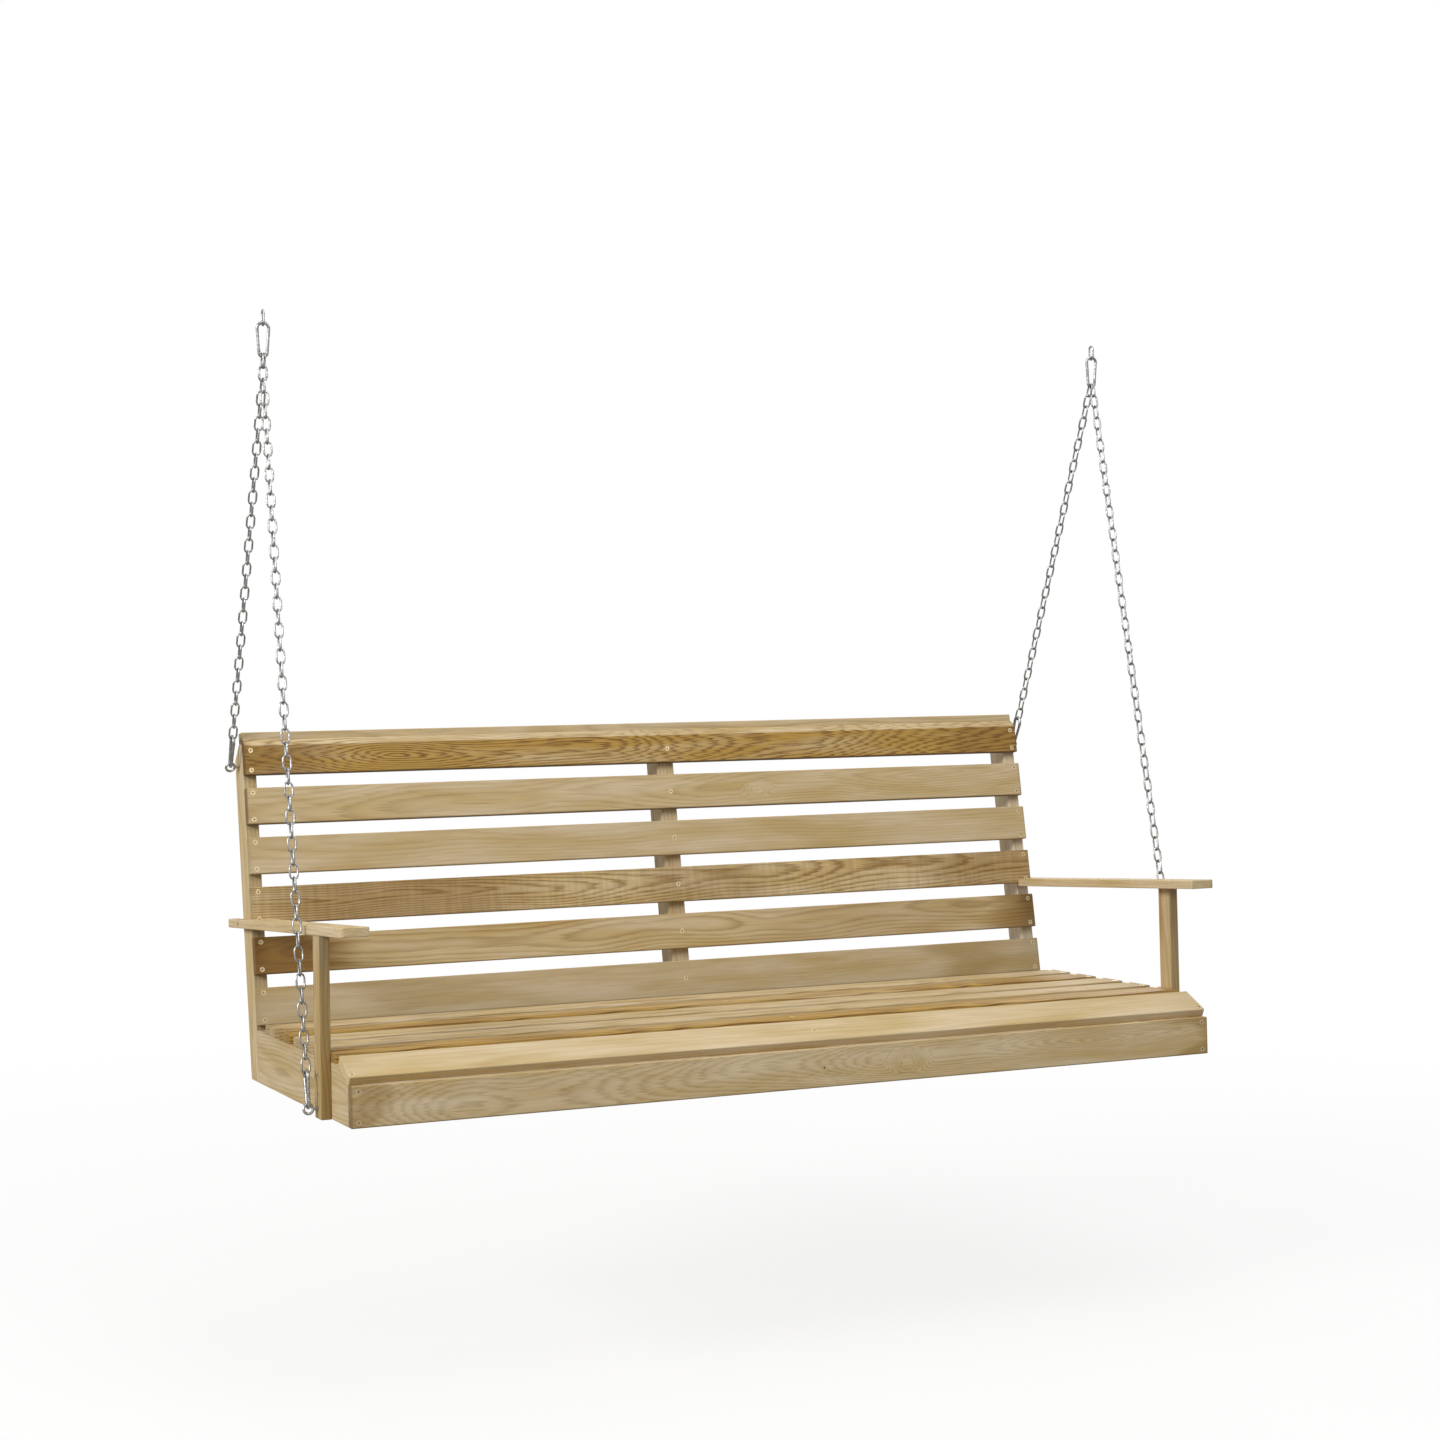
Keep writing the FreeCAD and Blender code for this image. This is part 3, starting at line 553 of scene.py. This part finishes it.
# %% String the chains
def string_chain(name, middles):
    """One mesh of links at the given middles."""
    along = (middles[-1] - middles[0]).normalized()
    flat = (Vector((1, 0, 0)) - along * along.x).normalized()
    chain = bmesh.new()
    mesh = bpy.data.meshes.new(name)
    for i, middle in enumerate(middles):
        turned = flat if i % 2 == 0 else along.cross(flat)
        axes = Matrix((turned.cross(along), turned, along)).transposed().to_4x4()
        link.to_mesh(mesh)
        mesh.transform(Matrix.Translation(middle) @ axes)
        chain.from_mesh(mesh)
    for face in chain.faces:
        face.smooth = True
    chain.to_mesh(mesh)
    mesh.materials.append(galvanised)
    obj = bpy.data.objects.new(name, mesh)
    bpy.context.scene.collection.objects.link(obj)
    return obj


for name, middles in chains.items():
    chain = string_chain(name + "_links", middles)
    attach(chain, "seat")
    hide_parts(name)
    print(chain.name, "faces:", len(chain.data.polygons))

# %% [markdown]
# ## A pale floor
# The seat hangs clear of the ground, and a faint shadow below it shows how high. A plane would do for the floor, but a
# large disc has no corners that could come into the picture.

# %% Floor
FLOOR_DROP = 0.42  # metres from the lowest point of the seat down to the floor
FLOOR_RADIUS = 14
scene = bpy.context.scene
floor_mesh = bpy.data.meshes.new("floor")
disc = bmesh.new()
bmesh.ops.create_circle(disc, cap_ends=True, segments=96, radius=FLOOR_RADIUS,
                        matrix=Matrix.Translation((0, 0, cad_box[0][2] - FLOOR_DROP)))
disc.to_mesh(floor_mesh)
floor = bpy.data.objects.new("floor", floor_mesh)
scene.collection.objects.link(floor)
print("floor at", round(cad_box[0][2] - FLOOR_DROP, 3))

# %% [markdown]
# ## White that fades
# The floor is matt and fades into the white room with distance, so that no horizon shows. A matt disc alone would turn
# grey, so most of it glows: white to the camera, and dimmer as a lamp, so that it doesn't light the boards from below.

# %% Floor finish
FADE_FROM, FADE_TO = 0.5, 3.5  # metres from the middle between which the floor turns to plain white
GLOW_SHARE = 0.78  # share of the floor's middle that glows
ROOM_GLOW = 0.3  # what the white room gives as light, while the camera sees it as white
material, node = new_material("pale_floor")
where = node("TexCoord").outputs["Object"]
flat_at = node("VectorMath", {"Vector": where, "Vector_001": (1, 1, 0)}, operation="MULTIPLY").outputs[0]
away = node("VectorMath", {"Vector": flat_at}, operation="LENGTH").outputs["Value"]
fade = node("MapRange", {"Value": away, "From Min": FADE_FROM, "From Max": FADE_TO, "To Min": GLOW_SHARE},
            interpolation_type="SMOOTHSTEP").outputs[0]
seen = node("LightPath").outputs["Is Camera Ray"]
strength = node("MapRange", {"Value": seen, "To Min": ROOM_GLOW, "To Max": 1.0}).outputs[0]
matt = node("BsdfDiffuse", {"Color": linear("#F2F1EF")})
glow = node("Emission", {"Color": linear("#FFFFFF"), "Strength": strength})
mixed = node("MixShader", {"Fac": fade, "Shader": matt.outputs[0], "Shader_001": glow.outputs[0]})
node("OutputMaterial", {"Surface": mixed.outputs[0]})
floor_mesh.materials.append(material)
print("floor glows at", ROOM_GLOW, "as a lamp, and fades over", FADE_TO - FADE_FROM, "m")

# %% [markdown]
# ## A white room
# Metal looks like what surrounds it, so zinc needs a room to reflect. A model of a studio would do, but a plain white
# world is enough: white to the camera, half bright in reflections, and dim as a lamp, so that the lamps give the shade.

# %% Room
GLOSS_SHARE = 0.4  # how far reflections of the room are on the way from its glow to white
world = bpy.data.worlds.new("white_room")
world.use_nodes = True
world.node_tree.nodes.clear()
room = partial(add_node, world.node_tree)
path = room("LightPath").outputs
seen = room("Math", {"Value": path["Is Glossy Ray"], "Value_001": GLOSS_SHARE, "Value_002": path["Is Camera Ray"]},
            operation="MULTIPLY_ADD").outputs[0]
strength = room("MapRange", {"Value": seen, "To Min": ROOM_GLOW, "To Max": 1.0}).outputs[0]
sky = room("Background", {"Color": linear("#FFFFFF"), "Strength": strength})
room("OutputWorld", {"Surface": sky.outputs[0]})
scene.world = world
scene.view_settings.view_transform = "Standard"
print("reflections of the room:", ROOM_GLOW + GLOSS_SHARE * (1 - ROOM_GLOW))

# %% [markdown]
# ## Soft light
# The photograph has hardly any shadow, as in a studio with large lamps. Four square ones point at the seat: a key in
# front, one overhead for the seat slats, a far one on the left for the ends of the boards, and one behind that lifts
# the back. A single sun would be simpler, but its shadows are hard.

# %% Lamps
SEAT_MIDDLE = Vector((0, 0, -0.95))


def softbox(name, place, size, watts):
    """A square lamp that points at the seat."""
    lamp = bpy.data.lights.new(name, "AREA")
    lamp.size = size
    lamp.energy = watts
    obj = bpy.data.objects.new(name, lamp)
    obj.location = place
    obj.rotation_euler = (SEAT_MIDDLE - obj.location).to_track_quat("-Z", "Y").to_euler()
    scene.collection.objects.link(obj)


softbox("front_key", (0.6, -2.6, 2.0), 2.4, 57)
softbox("overhead", (0.0, 0.2, 2.6), 2.4, 32)
softbox("left_fill", (-7.0, -2.2, 2.4), 2.5, 440)
softbox("rear_fill", (3.0, 4.5, 1.0), 2.5, 90)

# %% [markdown]
# ## The camera
# The photograph was taken from the left, from four metres away and with the camera level but for a trace of roll. Its
# place and lens were worked out from the board ends. The frame sits lower than the level line, so the camera is
# shifted, not tilted, and uprights stay upright.

# %% Camera
camera_data = bpy.data.cameras.new("camera")
camera_data.sensor_width = 36
camera_data.lens = 65.05
camera_data.shift_y = -0.0741
camera = bpy.data.objects.new("camera", camera_data)
camera.location = (-1.7716, -3.9732, -0.455)
camera.rotation_euler = (math.radians(90), math.radians(0.284), math.radians(-24.298))
scene.collection.objects.link(camera)
scene.camera = camera
print("camera at", tuple(round(v, 2) for v in camera.location))
